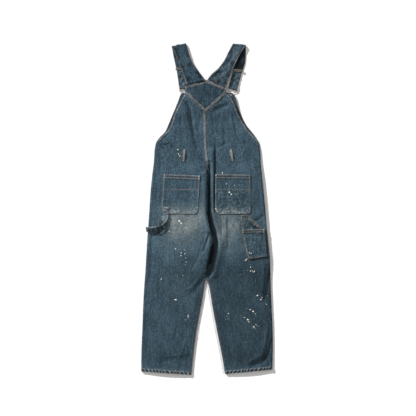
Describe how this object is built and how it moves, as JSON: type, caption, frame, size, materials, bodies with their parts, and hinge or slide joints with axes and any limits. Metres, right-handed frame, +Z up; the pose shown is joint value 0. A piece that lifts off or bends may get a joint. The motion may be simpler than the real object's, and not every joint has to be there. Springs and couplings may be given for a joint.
{
  "type": "paint spattered denim dungarees laid face down",
  "caption": "Denim dungarees laid flat, back up, with crossed straps, a yoke, patch pockets, a hammer loop and a tool pocket; faded and paint spattered.",
  "frame": {"origin": "on the surface that the garment lies on, at the middle of its outline", "axes": "+Z up, out of the garment's back; +Y from the hems to the straps; +X to the wearer's right as the garment lies face down"},
  "size_m": [0.565, 1.426, 0.0256],
  "materials": {
    "washed_denim": "washed indigo twill, faded at the seat",
    "dark_denim": "indigo twill, less faded",
    "pocket_denim": "washed indigo twill",
    "aged_brass": "dull pale plated brass"
  },
  "bodies": {
    "root": {"bib_front": "dark_denim", "front_left": "dark_denim", "front_right": "dark_denim", "back_left": "washed_denim", "back_right": "washed_denim", "yoke": "dark_denim", "strap_left": "dark_denim", "strap_right": "dark_denim", "strap_end_left": "washed_denim", "strap_end_right": "washed_denim", "pocket_left": "pocket_denim", "pocket_right": "pocket_denim", "tool_pocket_large": "pocket_denim", "tool_pocket_small": "pocket_denim", "belt_loop_left": "washed_denim", "belt_loop_right": "washed_denim", "hammer_loop": "washed_denim", "slider_left": "aged_brass", "slider_right": "aged_brass", "buckle_left": "aged_brass", "buckle_right": "aged_brass", "button_left": "aged_brass", "button_right": "aged_brass"}
  },
  "joints": []
}
